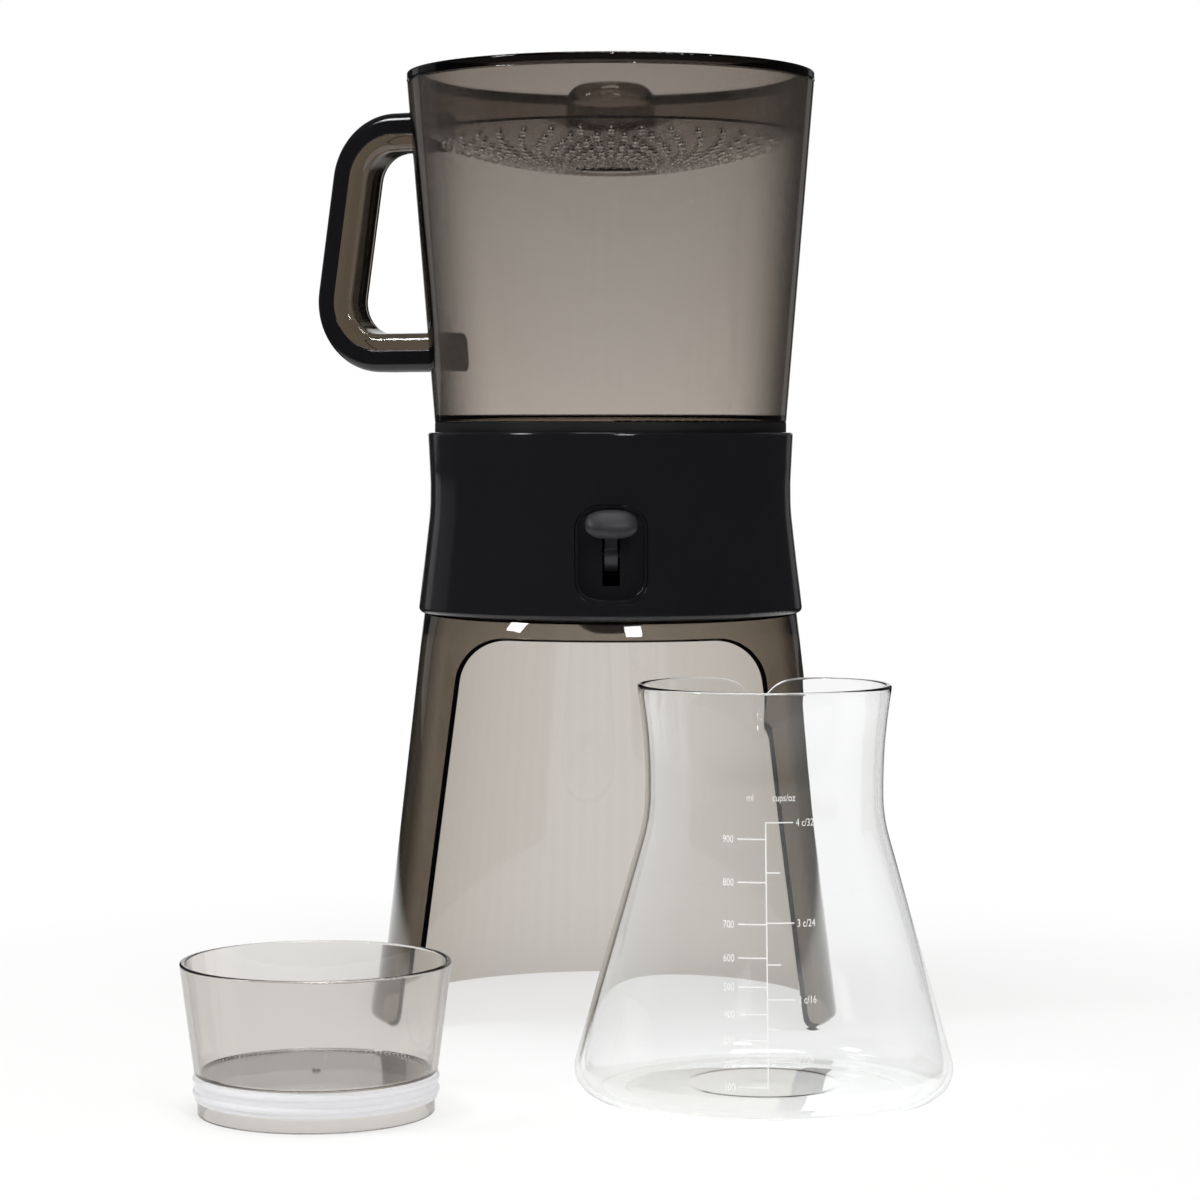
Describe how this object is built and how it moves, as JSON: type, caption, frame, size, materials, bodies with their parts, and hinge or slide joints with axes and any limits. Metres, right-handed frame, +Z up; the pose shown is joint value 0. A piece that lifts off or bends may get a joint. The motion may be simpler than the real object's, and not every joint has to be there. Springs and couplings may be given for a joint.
{
  "type": "cold brew coffee maker",
  "caption": "Cold brew coffee maker: tapered stand, lift-off brewer with drip lid, filter and switch-worked drain valve, glass carafe and stopper cup.",
  "frame": {"origin": "on the table, in the middle of the ground that the stand, carafe and cup cover together; the stand's own axis is at x 0.014755, y 0.08635", "axes": "+Z up along the stand's axis; -Y is the front, where the switch and the stand's opening are; +X is to the right seen from the front"},
  "size_m": [0.2773, 0.3656, 0.389],
  "materials": {
    "smoke_plastic": "clear smoke-tinted, injection moulded, polished",
    "light_smoke_plastic": "clear, faintly smoke-tinted, polished",
    "black_gloss_plastic": "high gloss",
    "black_satin_plastic": "fine satin",
    "black_grip": "smooth soft overmould",
    "grey_pad": "matt soft overmould",
    "black_silicone": "smooth satin",
    "white_silicone": "smooth, translucent",
    "steel": "bright",
    "carafe_glass": "clear, fire polished"
  },
  "bodies": {
    "stand": {"stand_shell": "smoke_plastic"},
    "brewer": {"base_collar": "black_gloss_plastic", "brew_base": "black_satin_plastic", "base_screws": "steel", "bottom_cover": "black_satin_plastic", "drip_funnel": "black_gloss_plastic", "valve_seat": "black_silicone", "switch_plate": "black_gloss_plastic", "pivot_pin": "steel", "detent_leaf": "steel", "container_gasket": "black_silicone", "brew_container": "smoke_plastic", "handle_core": "smoke_plastic", "handle_strip": "black_grip"},
    "lever": {"switch_lever": "black_satin_plastic", "switch_pad": "grey_pad", "crank_pin": "steel"},
    "lifter": {"lifter_yoke": "black_satin_plastic", "valve_stem": "steel", "valve_plug": "black_silicone", "stem_clip": "steel"},
    "filter": {"filter_mesh": "steel", "filter_rim": "steel", "filter_gasket": "black_silicone"},
    "lid": {"drip_lid": "smoke_plastic"},
    "carafe": {"carafe_glass": "carafe_glass"},
    "cup": {"stopper_cup": "light_smoke_plastic", "stopper_seal": "white_silicone"}
  },
  "joints": [
    {"name": "brewer_lift", "type": "slide", "parent": "stand", "child": "brewer", "axis": [0, 0, 1], "range_m": [0, 0.08]},
    {"name": "lid_lift", "type": "slide", "parent": "brewer", "child": "lid", "axis": [0, 0, 1], "range_m": [0, 0.08]},
    {"name": "filter_lift", "type": "slide", "parent": "brewer", "child": "filter", "axis": [0, 0, 1], "range_m": [0, 0.085]},
    {"name": "switch_turn", "type": "hinge", "parent": "brewer", "child": "lever", "pos_m": [0.01453, 0.02035, 0.19235], "axis": [1, 0, 0], "range_deg": [0, 72]},
    {"name": "valve_lift", "type": "slide", "parent": "brewer", "child": "lifter", "axis": [0, 0, 1], "range_m": [0, 0.0066]},
    {"name": "carafe_move", "type": "hinge", "parent": "stand", "child": "carafe", "pos_m": [0.3582, 0.08635, 0], "axis": [0, 0, -1], "range_deg": [0, 32.92]},
    {"name": "cup_lift", "type": "slide", "parent": "stand", "child": "cup", "axis": [0, 0, 1], "range_m": [0, 0.12]}
  ],
  "couplings": [
    {"joint": "valve_lift", "follows": "switch_turn", "m_per_rad": 0.0051421}
  ]
}
